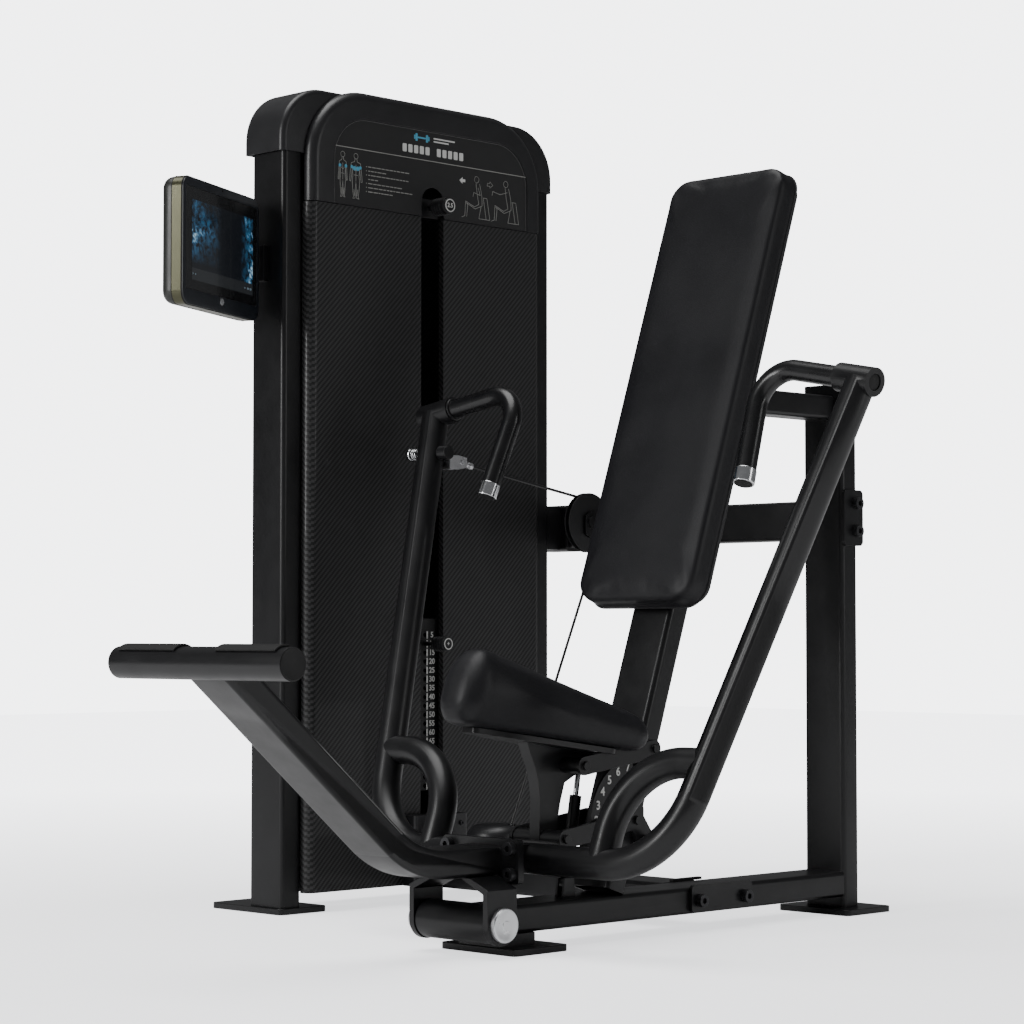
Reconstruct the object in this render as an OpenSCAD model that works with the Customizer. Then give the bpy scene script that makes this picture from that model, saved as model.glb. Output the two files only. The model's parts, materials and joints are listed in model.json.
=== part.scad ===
// Seated chest press with a weight tower, a foot-released press frame and a
// swivelling screen. Z is up, X = 0 is the seat's mid plane, the user faces -Y
// and the tower stands on the -X side. The origin is under the front foot.

/* [Base frame] */
// Width of the main rectangular tubes
tube_w = 100; // [94:2:106]
// Thickness of the main rectangular tubes
tube_t = 50; // [46:1:54]
// Y of the rear upright's front face
upright_y = 906; // [900:1:912]
// Height of the rear upright
upright_h = 1064; // [1050:2:1080]

/* [Backrest] */
// Lean of the backrest from vertical, degrees
back_lean = 19; // [18:0.5:20]
// Width of the back pad
pad_w = 290; // [270:5:300]
// Length of the back pad along its slope
pad_l = 882; // [860:2:890]

/* [Press frame] */
// Lean of the press frame at rest, degrees
arm_lean = 20.66; // [20:0.1:21]
// Outward splay of each arm, degrees
arm_splay = 11.3; // [11:0.1:11.6]
// Outer diameter of the press frame's round tube
arm_d = 55; // [52:1:56]
// Diameter of the hand grips
grip_d = 38; // [34:1:40]
// Length of the foot bar
foot_bar_l = 440; // [400:10:460]

/* [Seat] */
// Nose-up tilt of the seat, degrees
seat_tilt = 19; // [18:0.5:20]
// Half width of the seat pad at the nose
seat_nose_w = 50; // [46:1:54]
// Half width of the seat pad at the rear
seat_rear_w = 110; // [104:1:114]
// Thickness of the seat pad at the nose
seat_nose_t = 136; // [130:1:140]
// Angle between the seat pad's top and its underside, degrees
seat_taper = 10.3; // [10:0.1:10.8]

/* [Tower] */
// Height of the weight tower
tower_h = 1677; // [1660:1:1690]
// Number of plates in the weight stack
plate_count = 18; // [14:1:18]
// Distance from one plate to the next
plate_pitch = 18.6; // [18.4:0.1:18.6]
// Screen width
screen_w = 340; // [320:5:345]
// Screen height
screen_h = 247; // [230:1:250]

/* [Hidden] */
$fn = 48;
soft_fn = 32;
wall = 3;
fit = 0.05;
gap = 0.3;

// Back support tube: its rear face starts here and leans back
back_y = 259.4;
back_z = 81.5;
support_l = 1010;
pad_front = -114;
pad_bottom = 538;
pad_foam = 51.5;
board_t = 12;

// Press frame: hinge axis and the mid point of the bottom tube
hinge_y = -107;
hinge_z = 57.6;
frame_y = 20;
frame_z = 162;
arm_vertex = 360;
arm_bend = 165;
arm_tangent = arm_bend * tan((90 - arm_splay) / 2);
arm_len = 914;
handle_run = 238;
handle_bend = 62;
handle_drop = 234;
handle_in = 16.2;
handle_turn = 90 + handle_in;
handle_tangent = handle_bend * tan(handle_turn / 2);
gusset_x = 213;
gusset_rise = 54;
gusset_bend = 135;
gusset_r = arm_d / 2 - 0.5;

// Foot lever: where its centre line turns up, and by how much
lever_y = -256.8;
lever_z = 163;
lever_rise = 40.3;
lever_bend = 200;
lever_tangent = lever_bend * tan(lever_rise / 2);
lever_len = 548;
foot_bar_y = -684;
foot_bar_z = 513;
foot_bar_r = 27;

// Seat linkage pivots, as [y, z]
seat_low_rear = [275, 218];
seat_low_front = [88, 193];
seat_top_rear = [325, 347];
seat_top_front = [138, 322];
strut_foot = [152, 105];
strut_head = [190, 325];
seat_stop = [300, 184];

// Weight tower
foot_t = 12;
column_x = -777.5;
column_y = [118, 832];
column_top = 1588;
tower_mid = 475;
tower_y = 480;
stack_x = -765;
stack_y = 480;
plate_size = [84, 310, 18.2];
top_plate_z = 557;
stack_base_z = top_plate_z - (plate_count - 1) * plate_pitch - plate_size[2] / 2;
rod_offset = 110;
front_x = -702;
slot_w = 64;
shroud_y = [141, 807];
front_cap_z = 1437;
increment_z = 1457;

// Cable and pulleys, each pulley as [x, y, z] and groove radius
cable_d = 6;
cable_x = -500;
upper_pulley_c = [-500, 741, 794];
upper_pulley_r = 48;
upper_pulley_lip = 15;
lower_pulley_c = [-530, 493.5, 123.7];
lower_pulley_r = 30;
lower_tip = 24.11;
tower_pulley_c = [-812, 480, 141.9];
tower_pulley_r = 46;
top_pulley_c = [-812, 480, 1532];
top_pulley_r = 46;
fork_pin = [362, 904];
cable_top = [748.7, 841.4];

frame_black = [0.05, 0.05, 0.055];
shroud_black = [0.09, 0.09, 0.09];
pad_black = [0.07, 0.07, 0.08];
steel = [0.62, 0.62, 0.64];
chrome = [0.85, 0.85, 0.87];
rubber_black = [0.03, 0.03, 0.03];
plate_black = [0.12, 0.12, 0.12];

// ---- shared shapes ----

// Rectangle with round corners, centred
module round_rect(w, h, r) {
  square([w - 2 * r, h], center = true);
  square([w, h - 2 * r], center = true);
  for (x = [-1, 1], y = [-1, 1])
    translate([x * (w / 2 - r), y * (h / 2 - r)]) circle(r);
}

// Block with round vertical corners, standing on z = 0
module round_block(w, d, h, r) {
  linear_extrude(h) round_rect(w, d, r);
}

// Hollow rectangular tube along +Z
module box_tube(w, d, len, r) {
  difference() {
    round_block(w, d, len, r);
    translate([0, 0, -1]) round_block(w - 2 * wall, d - 2 * wall, len + 2, r - wall);
  }
}

// Rod along X between two ends
module rod_x(x0, x1, y, z, r) {
  translate([x0, y, z]) rotate([0, 90, 0]) cylinder(r = r, h = x1 - x0);
}

// Plate in the YZ plane from x0 to x1, drawn as [y, z] points
module plate_x(x0, x1, points) {
  translate([x0, 0, 0]) rotate([90, 0, 90]) linear_extrude(x1 - x0) polygon(points);
}

// Bar with round ends from pivot a to pivot b, as [y, z]
module link_x(x0, x1, a, b, r) {
  translate([x0, 0, 0]) rotate([90, 0, 90]) linear_extrude(x1 - x0) hull() {
    translate(a) circle(r);
    translate(b) circle(r);
  }
}

// Quarter or part bend of a round tube in the XZ plane: starts at the origin
// heading +X and turns up towards +Z
module tube_bend(bend_r, r, turn) {
  translate([0, 0, bend_r]) rotate([90, 0, 0]) rotate([0, 0, -90])
    rotate_extrude(angle = turn) translate([bend_r, 0]) circle(r);
}

bolt_head_r = 12;

// Socket head bolt, head up along +Z from its seat
module bolt(head_r, head_h, shank_r = 0, shank_l = 0) {
  difference() {
    cylinder(r = head_r, h = head_h);
    translate([0, 0, head_h * 0.4]) cylinder(r = head_r * 0.5, h = head_h, $fn = 6);
  }
  if (shank_l > 0) translate([0, 0, -shank_l]) cylinder(r = shank_r, h = shank_l);
}

module in_back() {
  translate([0, back_y, back_z]) rotate([-back_lean, 0, 0]) children();
}

module in_press() {
  translate([0, frame_y, frame_z]) rotate([-arm_lean, 0, 0]) children();
}

// Local Z runs up the left arm, local X points outward
module along_arm() {
  in_press() translate([arm_vertex, 0, 0]) rotate([0, arm_splay, 0]) children();
}

module both_sides() {
  children();
  mirror([1, 0, 0]) children();
}

// ---- base frame ----

module floor_feet() {
  color(frame_black) {
    translate([0, -4.5, 0]) round_block(190, 137, foot_t, 12);
    translate([0, -22, foot_t]) round_block(tube_w, 96, 21, 6);
    translate([0, 938, 0]) round_block(180, 142, foot_t, 12);
    for (side = [-1, 1]) translate([-826.5, tower_mid + side * 331.5, 0]) round_block(221, 125, foot_t, 14);
  }
}

module base_beam() {
  bore = 15 + fit;
  color(frame_black) difference() {
    union() {
      translate([0, -100, 58]) rotate([-90, 0, 0]) box_tube(tube_w, tube_t, upright_y + 100, 8);
      rod_x(-85, 85, hinge_y, hinge_z, 34);
    }
    rod_x(-90, 90, hinge_y, hinge_z, bore);
    rod_x(-70, 70, hinge_y, hinge_z, bore + 4);
  }
}

module base_cross_member() {
  color(frame_black) {
    translate([-736, 520, 58]) rotate([0, 90, 0]) box_tube(tube_t, tube_w, 686, 8);
    translate([-55, 545.5, 83]) round_block(10, 85, 5, 2);
  }
}

// Clamp plates where the cross-members meet the near side of the frame
module clamp_plates() {
  color(frame_black) {
    translate([50, 522.5, 62]) rotate([0, 90, 0]) difference() {
      round_block(52, 175, 8, 10);
      for (y = [-64.5, 66.5]) translate([4, y, -1]) cylinder(r = 6.5, h = 10);
    }
    translate([50, 933.5, 793.5]) rotate([0, 90, 0]) difference() {
      round_block(113, 61, 8, 10);
      for (z = [-29.5, 26.5]) translate([z, 6.5, -1]) cylinder(r = 6.5, h = 10);
    }
  }
}

module rear_upright() {
  color(frame_black) {
    translate([0, upright_y + tube_t / 2, 12]) box_tube(tube_w, tube_t, upright_h - 12, 10);
    difference() {
      translate([0, 560, 1016.5]) rotate([-90, 0, 0]) box_tube(60, 49, upright_y - 560, 8);
      support_block();
    }
  }
}

// Outside of the inclined support tube
module support_block() {
  in_back() translate([0, -tube_t / 2, 0]) round_block(tube_w, tube_t, support_l, 10);
}

module back_support() {
  pivot_r = 8 + fit;
  color(frame_black) difference() {
    in_back() translate([0, -tube_t / 2, 0]) box_tube(tube_w, tube_t, support_l, 10);
    translate([-100, 100, 33]) cube([200, 300, 50]);
    for (p = [seat_low_rear, seat_top_rear]) rod_x(-60, 60, p[0], p[1], pivot_r);
  }
}

module upper_cross_beam() {
  color(frame_black) {
    translate([-800, 931, 790]) rotate([0, 90, 0]) box_tube(80, tube_t, 750, 8);
    difference() {
      translate([-800, 930, 793]) rotate([0, 90, 0]) round_block(102, 60, 84, 10);
      translate([-801, 931, 790]) rotate([0, 90, 0]) round_block(80, tube_t, 86, 8);
    }
    translate([-820, 858, 745]) cube([86, 42, 96]);
  }
}

module frame_bolts() {
  color(steel) {
    for (y = [458, 589]) translate([58, y, 58]) rotate([0, 90, 0]) bolt(bolt_head_r, 12, 6, 8);
    for (z = [767, 823]) translate([58, 940, z]) rotate([0, 90, 0]) bolt(bolt_head_r, 12, 6, 8);
    for (p = [[415, 60], [525, 165]]) translate([-659.7, p[0], p[1]]) rotate([0, 90, 0]) bolt(5, 4);
  }
}

// ---- tower ----

module tower_frame() {
  color(frame_black) {
    for (y = column_y) translate([column_x, y, foot_t]) box_tube(101, 52, column_top - foot_t, 10);
    translate([-766, column_y[0] + 26, 67]) rotate([-90, 0, 0])
      box_tube(60, 50, column_y[1] - column_y[0] - 52, 6);
    translate([-766, column_y[0] + 2, column_top + 25]) rotate([-90, 0, 0])
      box_tube(60, 50, column_y[1] - column_y[0] - 4, 6);
  }
}

module guide_rods() {
  color(chrome) for (s = [-1, 1])
    translate([stack_x, stack_y + s * rod_offset, 92]) cylinder(r = 10, h = column_top - 92);
}

module stack_buffers() {
  color(rubber_black) for (s = [-1, 1])
    translate([stack_x, stack_y + s * rod_offset, 92.2]) difference() {
      cylinder(r = 25, h = stack_base_z - 92.5);
      translate([0, 0, -1]) cylinder(r = 10.3, h = 200);
    }
}

// One weight plate, its centre height given; the pin hole opens to the front
module weight_plate(z) {
  translate([stack_x, stack_y, z - plate_size[2] / 2]) difference() {
    translate([0, 0, 0]) round_block(plate_size[0], plate_size[1], plate_size[2], 6);
    for (s = [-1, 1]) translate([0, s * rod_offset, -1]) cylinder(r = 10.8, h = 30);
    translate([0, 0, -1]) cylinder(r = 13, h = 30);
    translate([0, 0, plate_size[2] / 2]) rotate([0, 90, 0]) cylinder(r = 5, h = 60);
  }
}

module resting_plates() {
  color(plate_black) for (i = [2 : plate_count - 1]) weight_plate(top_plate_z - i * plate_pitch);
}

module lifted_plates() {
  color(plate_black) for (i = [0, 1]) weight_plate(top_plate_z - i * plate_pitch);
}

// Half of the front shroud: a flat face with one rounded corner returned inward
module shroud_half(y_slot, y_side) {
  w = abs(y_side - y_slot);
  s = y_side > y_slot ? 1 : -1;
  skin = 2.5;
  r = 20;
  translate([0, y_slot, 40]) mirror([0, s < 0 ? 1 : 0, 0]) linear_extrude(front_cap_z - 41) {
    translate([front_x - skin, 0]) square([skin, w - r]);
    translate([front_x - 25, w - skin]) square([25 - r, skin]);
    translate([front_x - r, w - r]) intersection() {
      difference() {
        circle(r);
        circle(r - skin);
      }
      square(r);
    }
    translate([front_x - 14, 0]) square([14 - skin, skin]);
  }
}

module shroud_panel_left() {
  color(shroud_black) shroud_half(tower_y - slot_w / 2, shroud_y[0]);
}

module shroud_panel_right() {
  color(shroud_black) difference() {
    shroud_half(tower_y + slot_w / 2, shroud_y[1]);
    translate([-740, 469, 30]) cube([60, 102, 54]);
  }
}

module rear_shroud() {
  skin = 2.5;
  tab_reach = 32.5;
  color(shroud_black) {
    translate([-859.5, tower_mid, 60]) difference() {
      round_block(61, 600, 1540, 18);
      translate([skin, 0, -1]) round_block(61, 600 - 2 * skin, 1541 - skin, 16);
      translate([21.5, -310, -1]) cube([10, 620, 1550]);
    }
    for (y = [144, 806 - tab_reach], z = [300, 1300]) translate([-846, y, z]) cube([30, tab_reach, 4]);
  }
}

// Outline of a cap in the YZ plane with two large top corners
module cap_outline(y0, y1, z0, z1, r) {
  translate([y0, z0]) square([y1 - y0, z1 - z0 - r]);
  translate([y0 + r, z0]) square([y1 - y0 - 2 * r, z1 - z0]);
  for (side = [0, 1])
    translate([side == 0 ? y0 + r : y1 - r, z1 - r]) mirror([1 - side, 0]) intersection() {
      circle(r, $fn = 96);
      square(r);
    }
}

module front_cap() {
  color(shroud_black) difference() {
    translate([-722, 0, 0]) rotate([90, 0, 90]) linear_extrude(24)
      cap_outline(shroud_y[0], shroud_y[1], front_cap_z, tower_h, 150);
    translate([-723, 0, 0]) rotate([90, 0, 90]) linear_extrude(20)
      cap_outline(shroud_y[0] + 4, shroud_y[1] - 4, front_cap_z + 3, tower_h - 4, 146);
    translate([-700.5, 0, 0]) rotate([90, 0, 90]) linear_extrude(5)
      cap_outline(201, 761, front_cap_z - 1, 1620, 105);
    translate([-730, 0, 0]) rotate([90, 0, 90]) linear_extrude(40)
      cap_outline(tower_y - slot_w / 2, tower_y + slot_w / 2, front_cap_z - 1, 1500, 31.9);
  }
}

module rear_cap() {
  color(frame_black) difference() {
    translate([-838, 0, 0]) rotate([90, 0, 90]) linear_extrude(115) cap_outline(84, 866, 1535, 1672, 110);
    translate([-835, 0, 0]) rotate([90, 0, 90]) linear_extrude(109) cap_outline(87, 863, 1534, 1669, 107);
    translate([-840, tower_mid - 301, 1530]) cube([6, 602, 71]);
  }
}

module entry_cover() {
  skin = 2.5;
  color(frame_black) translate([-680.7, 470, 40]) difference() {
    round_block(42, 150, 145, 8);
    translate([-skin, 0, -1]) round_block(42, 150 - 2 * skin, 146 - skin, 6);
    translate([0, 10, 56.9]) rotate([0, 90, 0]) cylinder(r = 8, h = 30);
    translate([-30, -1, -1]) cube([60, 102, 45]);
    translate([-30, -76, -1]) cube([10, 152, 150]);
  }
}

// ---- pulleys and their brackets ----

// Grooved wheel about local Z, centred, running on a fixed axle
module pulley(groove_r, bore_r, lip = 5) {
  half = 7;
  rim = groove_r + lip;
  rotate_extrude($fn = 96) polygon([[bore_r, -half], [rim, -half], [rim, -half + 2],
    [groove_r - cable_d / 2 - gap, -cable_d / 2 - 0.4], [groove_r - cable_d / 2 - gap, cable_d / 2 + 0.4],
    [rim, half - 2], [rim, half], [bore_r, half]]);
}

module at_upper_pulley() {
  translate(upper_pulley_c) rotate([0, 90, 0]) children();
}

module at_lower_pulley() {
  translate(lower_pulley_c) rotate([-90 - lower_tip, 0, 0]) children();
}

module upper_pulley_bracket() {
  color(frame_black) {
    for (x = [-514, -490]) plate_x(x, x + 4, [[722, 770], [738, 762], [898, 762], [898, 818], [738, 818], [722, 808]]);
    translate([-530, 898, 750]) cube([60, 8, 80]);
    rod_x(-514, -486, upper_pulley_c[1], upper_pulley_c[2], 8);
    rod_x(-518, -514, upper_pulley_c[1], upper_pulley_c[2], 13);
    rod_x(-486, -482, upper_pulley_c[1], upper_pulley_c[2], 13);
  }
}

module upper_pulley() {
  color(rubber_black) at_upper_pulley() pulley(upper_pulley_r, 8 + fit, upper_pulley_lip);
}

module lower_pulley_yoke() {
  color(frame_black) {
    at_lower_pulley() {
      translate([0, 0, -8]) cylinder(r = 7, h = 20);
      translate([0, 0, 9]) cylinder(r = 14, h = 4);
    }
    intersection() {
      at_lower_pulley() translate([-14, 0, 9]) cube([28, 100, 4]);
      translate([-600, 400, 83]) cube([200, 200, 100]);
    }
    translate([-560, 472, 83]) cube([50, 62, 5]);
  }
}

module lower_pulley() {
  color(rubber_black) at_lower_pulley() pulley(lower_pulley_r, 7 + fit);
}

module pulley_cover() {
  color(frame_black) translate([-535, 505, 88]) difference() {
    union() {
      translate([0, 0, -5]) cylinder(r = 62, h = 57);
      translate([0, 0, 52]) rotate_extrude($fn = 64) intersection() {
        circle(30);
        square([30, 30]);
      }
      translate([0, 0, 52]) rotate_extrude($fn = 64) union() {
        square([32, 30]);
        translate([32, 0]) intersection() {
          circle(30);
          square([30, 30]);
        }
      }
    }
    translate([0, 0, -6]) cylinder(r = 58, h = 58);
    translate([0, 0, 50]) rotate_extrude($fn = 64) union() {
      square([30, 28]);
      translate([30, 0]) intersection() {
        circle(28);
        square([28, 28]);
      }
    }
    translate([35, 6, 78]) rotate([-lower_tip, 0, 0]) translate([0, 0, -40]) cylinder(r = 9, h = 90);
    translate([-70, -35, -2]) cube([70, 22, 24]);
  }
}

module tower_pulley_hangers() {
  color(frame_black) {
    for (y = [466, 490]) {
      translate([-826, y, 92]) cube([56, 4, 64]);
      translate([-826, y, 1519]) cube([70, 4, column_top - 1519]);
    }
    for (c = [tower_pulley_c, top_pulley_c])
      translate([c[0], 466, c[2]]) rotate([-90, 0, 0]) cylinder(r = 8, h = 28);
  }
}

module tower_pulley() {
  color(rubber_black) translate(tower_pulley_c) rotate([90, 0, 0]) pulley(tower_pulley_r, 8 + fit);
}

module top_pulley() {
  color(rubber_black) translate(top_pulley_c) rotate([90, 0, 0]) pulley(top_pulley_r, 8 + fit);
}

// ---- cables ----

// Unit vectors and rings for a round tube swept along a list of points
function unit(v) = v / norm(v);
function along(p, i) = unit(p[min(i + 1, len(p) - 1)] - p[max(i - 1, 0)]);
function side(t) = unit(cross(t, [1, -1, 1]));
function ring(c, t, r, n) = [for (k = [0 : n - 1])
  c + r * cos(360 * k / n) * side(t) + r * sin(360 * k / n) * cross(t, side(t))];

module sweep(p, r, n = 8) {
  rings = [for (i = [0 : len(p) - 1]) each ring(p[i], along(p, i), r, n)];
  last = (len(p) - 1) * n;
  walls = [for (i = [0 : len(p) - 2], k = [0 : n - 1])
    [i * n + k, i * n + (k + 1) % n, (i + 1) * n + (k + 1) % n, (i + 1) * n + k]];
  polyhedron(rings, concat(walls, [[for (k = [n - 1 : -1 : 0]) k]], [[for (k = [0 : n - 1]) last + k]]));
}

function arc_yz(c, r, a0, a1, n) = [for (i = [0 : n])
  let (a = a0 + (a1 - a0) * i / n) [c[0], c[1] + r * cos(a), c[2] + r * sin(a)]];
function arc_xz(c, r, a0, a1, n) = [for (i = [0 : n])
  let (a = a0 + (a1 - a0) * i / n) [c[0] + r * cos(a), c[1], c[2] + r * sin(a)]];

// From the top of the upper pulley down to the lower one, through the entry
// cover, round the tower pulley, up the back and over the top pulley
lower_down = [0, -sin(lower_tip), -cos(lower_tip)];
cable_route = concat(
  arc_yz(upper_pulley_c, upper_pulley_r, 80.8, -lower_tip, 12),
  [for (i = [0 : 9]) lower_pulley_c + lower_pulley_r *
    (cos(10 * i) * [1, 0, 0] + sin(10 * i) * lower_down)],
  arc_xz(tower_pulley_c, tower_pulley_r, 270, 180, 9),
  arc_xz(top_pulley_c, top_pulley_r, 180, 0, 20));

module cable_main() {
  color(rubber_black) sweep(cable_route, cable_d / 2);
}

front_run = [cable_top[0] - fork_pin[0], cable_top[1] - fork_pin[1]];
front_tilt = atan2(front_run[1], front_run[0]);

// Local +Y runs along the cable from the fork pin towards the upper pulley
module along_cable() {
  translate([cable_x, fork_pin[0], fork_pin[1]]) rotate([front_tilt, 0, 0]) children();
}

module cable_front() {
  color(rubber_black) along_cable() translate([0, 38, 0]) rotate([-90, 0, 0])
    cylinder(r = cable_d / 2, h = norm(front_run) - 39, $fn = 12);
}

module cable_stop() {
  color(steel) along_cable() translate([0, 27, 0]) rotate([-90, 0, 0]) cylinder(r = 7, h = 10.5);
}

module cable_terminal() {
  color(steel) along_cable() difference() {
    union() {
      translate([-6.5, 0, 0]) rotate([0, 90, 0]) cylinder(r = 11, h = 13);
      translate([0, 8, 0]) rotate([-90, 0, 0]) cylinder(r = 5.5, h = 18.5);
    }
    translate([-7, 0, 0]) rotate([0, 90, 0]) cylinder(r = 5 + fit, h = 14);
  }
}

module cable_fork() {
  color(steel) difference() {
    union() {
      for (x = [-13, 7]) translate([cable_x + x, 0, 0])
        plate_x(0, 6, [[326, 890], [352, 890], [374, 894], [374, 914], [352, 918], [326, 918]]);
      translate([cable_x - 13, 326, 890]) cube([26, 10, 28]);
      rod_x(cable_x - 16, cable_x + 16, fork_pin[0], fork_pin[1], 5);
    }
    mirror([1, 0, 0]) arm_tube();
  }
}

module cable_drop() {
  color(rubber_black) translate([stack_x - 1, stack_y, 600]) cylinder(r = cable_d / 2, h = top_pulley_c[2] - 600, $fn = 12);
}

// ---- weight stack ----

module stack_head() {
  color(plate_black) {
    translate([stack_x, stack_y, 566.4]) difference() {
      round_block(plate_size[0], plate_size[1], 25, 6);
      for (s = [-1, 1]) translate([0, s * rod_offset, -1]) cylinder(r = 10.8, h = 40);
    }
    translate([stack_x, stack_y, 590]) cylinder(r = 9, h = 10);
  }
  color(steel) translate([stack_x, stack_y, stack_base_z + 2]) difference() {
    cylinder(r = 12.5, h = 566.4 - stack_base_z);
    for (i = [0 : plate_count - 1])
      translate([-20, 0, plate_size[2] / 2 - 2 + i * plate_pitch]) rotate([0, 90, 0]) cylinder(r = 5, h = 40);
  }
}

module selector_pin() {
  z = top_plate_z - plate_pitch;
  color(steel) rod_x(stack_x - 12, -690, stack_y, z, 4.5);
  color(rubber_black) {
    rod_x(-690, -656, stack_y, z, 15);
    rod_x(-656, -652, stack_y, z, 12);
  }
}

module increment_weight() {
  color(plate_black) translate([-742, stack_y - 25, increment_z - 20]) cube([30, 50, 40]);
  color(steel) rod_x(-712, -690, stack_y, increment_z, 6);
  color(rubber_black) {
    rod_x(-690, -652, stack_y, increment_z, 18);
    rod_x(-652, -648, stack_y, increment_z, 15);
  }
}

// ---- press frame ----

// One arm's tube, from the end of the lower tube round its bend and up
module arm_tube() {
  in_press() translate([arm_vertex - arm_tangent, 0, 0]) tube_bend(arm_bend, arm_d / 2, 90 - arm_splay);
  along_arm() translate([0, 0, arm_tangent]) cylinder(r = arm_d / 2, h = arm_len - arm_tangent);
}

module press_arms() {
  pin_r = 7 + fit;
  color(frame_black) difference() {
    both_sides() {
      arm_tube();
      along_arm() translate([-50, 0, arm_len]) rotate([0, 90, 0]) cylinder(r = 26, h = 81);
    }
    both_sides() along_arm() translate([26, 0, arm_len]) rotate([0, 90, 0]) cylinder(r = 15, h = 10);
    rod_x(-620, -400, 303, 921, pin_r);
  }
}

module lower_tube() {
  end = arm_vertex - arm_tangent;
  color(frame_black) {
    rod_x(-end, end, frame_y, frame_z, arm_d / 2);
    translate([-50, -51, 138]) cube([100, 62, tube_t]);
    translate([0, -51, lever_z]) rotate([90, 0, 0]) round_block(190, 78, 6.5, 8);
  }
}

module frame_gussets() {
  color(frame_black) difference() {
    both_sides() in_press() translate([gusset_x, 0, 0]) {
      cylinder(r = gusset_r, h = gusset_rise);
      translate([0, 0, gusset_rise]) mirror([1, 0, 0]) rotate([0, -90, 0])
        tube_bend(gusset_bend, gusset_r, 90);
      translate([gusset_bend, 0, gusset_rise + gusset_bend]) rotate([0, 90, 0]) cylinder(r = gusset_r, h = 50);
    }
    in_press() translate([-300, 0, 0]) rotate([0, 90, 0]) cylinder(r = arm_d / 2, h = 600);
    both_sides() arm_tube();
  }
}

module handles() {
  color(rubber_black) both_sides() along_arm() translate([0, 0, arm_len]) {
    translate([-handle_run + handle_tangent, 0, 0]) rotate([0, 90, 0])
      cylinder(r = grip_d / 2, h = handle_run - handle_tangent - 50);
    translate([-handle_run + handle_tangent, 0, 0]) mirror([1, 0, 0]) mirror([0, 0, 1])
      tube_bend(handle_bend, grip_d / 2, handle_turn);
    translate([-handle_run, 0, 0]) rotate([0, 180 - handle_in, 0])
      translate([0, 0, handle_tangent]) cylinder(r = grip_d / 2, h = handle_drop - handle_tangent - 28);
  }
}

module grip_caps() {
  color(chrome) both_sides() along_arm() translate([-handle_run, 0, arm_len]) rotate([0, 180 - handle_in, 0])
    translate([0, 0, handle_drop - 28]) cylinder(r = grip_d / 2 + 1, h = 28);
}

module clevis_plates() {
  color(frame_black) both_sides() difference() {
    union() {
      rod_x(87, 99, hinge_y, hinge_z, 36);
      translate([0, hinge_y + 36, 0]) rotate([90, 0, 0]) linear_extrude(72) polygon([[87, hinge_z], [99, hinge_z], [99, 119], [56, 138], [30, 138], [87, 112]]);
    }
    rod_x(80, 110, hinge_y, hinge_z, 15);
  }
}

module pivot_pin() {
  color(steel) {
    rod_x(-99, 99, hinge_y, hinge_z, 15);
    for (x = [-107, 99]) rod_x(x, x + 8, hinge_y, hinge_z, 30);
  }
}

module lever_section(len) {
  translate([0, -len, 0]) rotate([-90, 0, 0]) linear_extrude(len) round_rect(tube_w, tube_t, 9);
}

module foot_lever() {
  color(frame_black) {
    translate([0, -64, lever_z]) lever_section(-64 - lever_y - lever_tangent);
    translate([0, lever_y + lever_tangent, lever_z + lever_bend]) rotate([0, 90, 0])
      rotate_extrude(angle = -lever_rise, $fn = 96) translate([lever_bend, 0]) round_rect(tube_t, tube_w, 9);
    translate([0, lever_y, lever_z]) rotate([-lever_rise, 0, 0]) translate([0, -lever_tangent, 0])
      lever_section(lever_len - lever_tangent);
    rod_x(-foot_bar_l / 2, foot_bar_l / 2, foot_bar_y, foot_bar_z, foot_bar_r);
    translate([0, -57.5, lever_z]) rotate([90, 0, 0]) round_block(190, 78, 6.5, 8);
  }
}

module foot_pads() {
  pad = 150;
  skin = 4.5;
  color(rubber_black) for (x = [-foot_bar_l / 2 + 18, foot_bar_l / 2 - 18 - pad])
    translate([x, foot_bar_y, foot_bar_z]) rotate([0, 90, 0])
      rotate_extrude(angle = 120, start = 105, $fn = 96) translate([foot_bar_r, 0]) square([skin, pad]);
}

module lever_bolts() {
  color(steel) for (x = [-78.4, 78.4], z = [141, 186])
    translate([x, -64, z]) rotate([90, 0, 0]) bolt(bolt_head_r, 12);
}

module arm_pin() {
  color(steel) rod_x(-572, -489, 303, 921, 7);
  color(rubber_black) {
    rod_x(-489, -465, 303, 921, 14);
    rod_x(-584, -572, 303, 921, 11);
  }
}

// ---- backrest ----

module pad_board() {
  color(frame_black) in_back() translate([0, -50.5, pad_bottom + pad_l / 2]) rotate([90, 0, 0])
    round_block(pad_w - 16, pad_l - 16, board_t, 34);
}

module back_pad() {
  color(pad_black) in_back() translate([0, pad_front + pad_foam, pad_bottom + pad_l / 2]) rotate([90, 0, 0])
    round_block(pad_w, pad_l, pad_foam, 40);
}

// ---- seat and its parallel linkage ----

// Local Z is square to the seat's top, local Y runs back along it
module in_seat() {
  translate([0, -75, 523]) rotate([-seat_tilt, 0, 0]) children();
}

module seat_outline(inset) {
  hull() {
    for (s = [-1, 1]) {
      translate([s * (seat_nose_w - 40), 8 + inset]) circle(40 - inset, $fn = soft_fn);
      translate([s * (seat_rear_w - 50), 341 - inset]) circle(50 - inset, $fn = soft_fn);
    }
  }
}

// Local Z = 0 is the underside of the pad, local Y runs back from under the nose
module in_tray() {
  in_seat() translate([0, -32, -seat_nose_t]) rotate([seat_taper, 0, 0]) children();
}

// Channel under the seat's rear for the upper link
module link_channel() {
  plate_x(-72, 72, [[150, 300], [400, 300], [400, 376], [290, 368], [190, 351], [150, 343]]);
}

module seat_pad() {
  color(pad_black) difference() {
    in_seat() translate([0, 0, -seat_nose_t - 20]) linear_extrude(seat_nose_t + 20) seat_outline(0);
    in_tray() translate([-200, -100, -200]) cube([400, 700, 200]);
    link_channel();
  }
}

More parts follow.
